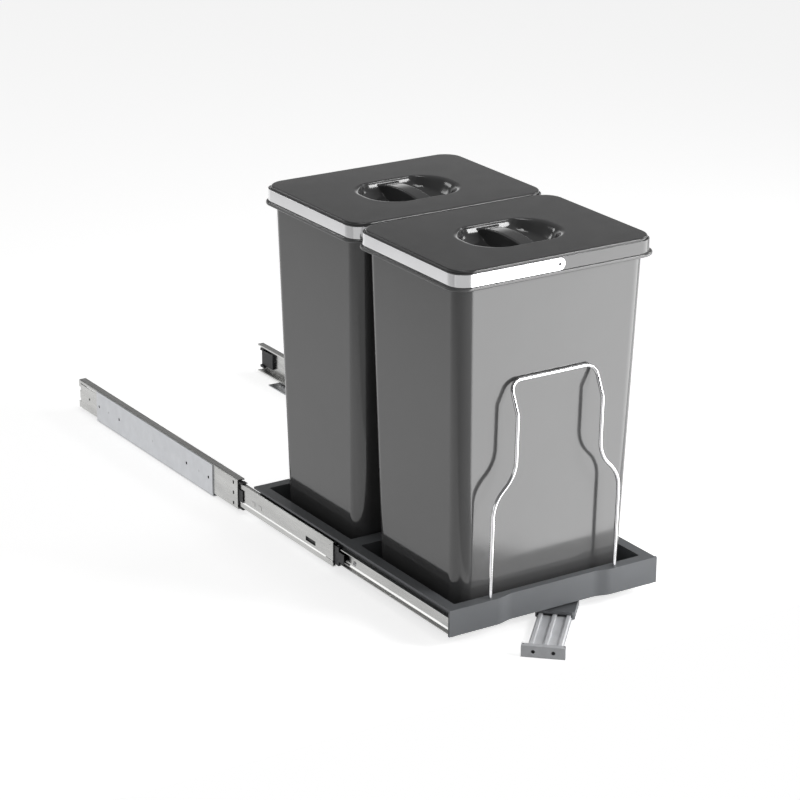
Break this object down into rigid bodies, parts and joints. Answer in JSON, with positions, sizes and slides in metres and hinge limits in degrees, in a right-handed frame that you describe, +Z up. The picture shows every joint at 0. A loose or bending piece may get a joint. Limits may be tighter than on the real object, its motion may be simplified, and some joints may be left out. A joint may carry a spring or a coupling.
{
  "type": "pull-out recycling bin",
  "caption": "Pull-out recycling unit for a kitchen cabinet: tapered lidded bins in a frame on full-extension ball slides, with floor brackets, wire pull handle and door-link arm.",
  "frame": {"origin": "centre of the footprint on the cabinet floor, drawn fully pulled out", "axes": "+Z up, +Y into the cabinet, +X to the right seen from the front"},
  "size_m": [0.341, 1.152, 0.505],
  "materials": {
    "zinc_plate": "satin",
    "rail_steel": "satin",
    "screw_steel": "satin",
    "black_plastic": "matte",
    "ball_steel": "polished",
    "frame_grey": "satin",
    "pad_rubber": "matte",
    "handle_chrome": "polished",
    "bail_steel": "polished",
    "arm_aluminium": "satin",
    "plate_grey": "satin",
    "bin_plastic": "gloss",
    "lid_plastic": "gloss"
  },
  "bodies": {
    "cabinet_mount": {"bracket_left": "zinc_plate", "bracket_right": "zinc_plate", "cabinet_rail_left": "rail_steel", "cabinet_rail_right": "rail_steel", "bracket_rivets": "screw_steel", "damper_left": "black_plastic", "damper_right": "black_plastic"},
    "mid_left": {"mid_rail_left": "rail_steel"},
    "mid_right": {"mid_rail_right": "rail_steel"},
    "outer_cage_left": {"outer_cage_left": "black_plastic", "outer_balls_left": "ball_steel"},
    "outer_cage_right": {"outer_cage_right": "black_plastic", "outer_balls_right": "ball_steel"},
    "inner_cage_left": {"inner_cage_left": "black_plastic", "inner_balls_left": "ball_steel"},
    "inner_cage_right": {"inner_cage_right": "black_plastic", "inner_balls_right": "ball_steel"},
    "carriage": {"frame": "frame_grey", "carriage_rail_left": "rail_steel", "carriage_rail_right": "rail_steel", "rail_screws": "screw_steel", "bin_pads": "pad_rubber", "pull_handle": "handle_chrome", "handle_screws": "screw_steel", "skid_pin": "screw_steel"},
    "front_bin": {"bin_front": "bin_plastic", "bail_pivots_front": "screw_steel"},
    "rear_bin": {"bin_rear": "bin_plastic", "bail_pivots_rear": "screw_steel"},
    "front_bail": {"bail_front": "bail_steel"},
    "rear_bail": {"bail_rear": "bail_steel"},
    "front_lid": {"lid_front": "lid_plastic"},
    "rear_lid": {"lid_rear": "lid_plastic"},
    "arm_skid": {"skid": "black_plastic"},
    "door_arm": {"arm_profile": "arm_aluminium", "door_plate": "plate_grey", "plate_pins": "black_plastic", "arm_end_stop": "black_plastic"}
  },
  "joints": [
    {"name": "carriage_slide", "type": "slide", "parent": "cabinet_mount", "child": "carriage", "axis": [0, 1, 0], "range_m": [0, 0.535]},
    {"name": "mid_rail_left_slide", "type": "slide", "parent": "cabinet_mount", "child": "mid_left", "axis": [0, 1, 0], "range_m": [0, 0.2675]},
    {"name": "outer_cage_left_roll", "type": "slide", "parent": "cabinet_mount", "child": "outer_cage_left", "axis": [0, 1, 0], "range_m": [0, 0.13375]},
    {"name": "inner_cage_left_roll", "type": "slide", "parent": "cabinet_mount", "child": "inner_cage_left", "axis": [0, 1, 0], "range_m": [0, 0.40125]},
    {"name": "mid_rail_right_slide", "type": "slide", "parent": "cabinet_mount", "child": "mid_right", "axis": [0, 1, 0], "range_m": [0, 0.2675]},
    {"name": "outer_cage_right_roll", "type": "slide", "parent": "cabinet_mount", "child": "outer_cage_right", "axis": [0, 1, 0], "range_m": [0, 0.13375]},
    {"name": "inner_cage_right_roll", "type": "slide", "parent": "cabinet_mount", "child": "inner_cage_right", "axis": [0, 1, 0], "range_m": [0, 0.40125]},
    {"name": "front_bin_lift", "type": "slide", "parent": "carriage", "child": "front_bin", "axis": [0, 0, 1], "range_m": [0, 0.5]},
    {"name": "rear_bin_lift", "type": "slide", "parent": "carriage", "child": "rear_bin", "axis": [0, 0, 1], "range_m": [0, 0.5]},
    {"name": "front_lid_lift", "type": "slide", "parent": "front_bin", "child": "front_lid", "axis": [0, 0, 1], "range_m": [0, 0.12]},
    {"name": "rear_lid_lift", "type": "slide", "parent": "rear_bin", "child": "rear_lid", "axis": [0, 0, 1], "range_m": [0, 0.12]},
    {"name": "front_bail_swing", "type": "hinge", "parent": "front_bin", "child": "front_bail", "pos_m": [0, -0.34081, 0.4923], "axis": [0, 1, 0], "range_deg": [0, 180]},
    {"name": "rear_bail_swing", "type": "hinge", "parent": "rear_bin", "child": "rear_bail", "pos_m": [0, -0.09941, 0.4923], "axis": [0, 1, 0], "range_deg": [0, 180]},
    {"name": "arm_swivel", "type": "hinge", "parent": "carriage", "child": "arm_skid", "pos_m": [0.02, -0.44871, 0.0117], "axis": [0, 0, 1], "range_deg": [-50, 43]},
    {"name": "arm_slide", "type": "slide", "parent": "arm_skid", "child": "door_arm", "axis": [0.682, 0.7314, 0], "range_m": [-0.056, 0.1]}
  ],
  "couplings": [
    {"joint": "mid_rail_left_slide", "follows": "carriage_slide", "ratio": 0.5},
    {"joint": "outer_cage_left_roll", "follows": "carriage_slide", "ratio": 0.25},
    {"joint": "inner_cage_left_roll", "follows": "carriage_slide", "ratio": 0.75},
    {"joint": "mid_rail_right_slide", "follows": "carriage_slide", "ratio": 0.5},
    {"joint": "outer_cage_right_roll", "follows": "carriage_slide", "ratio": 0.25},
    {"joint": "inner_cage_right_roll", "follows": "carriage_slide", "ratio": 0.75}
  ]
}
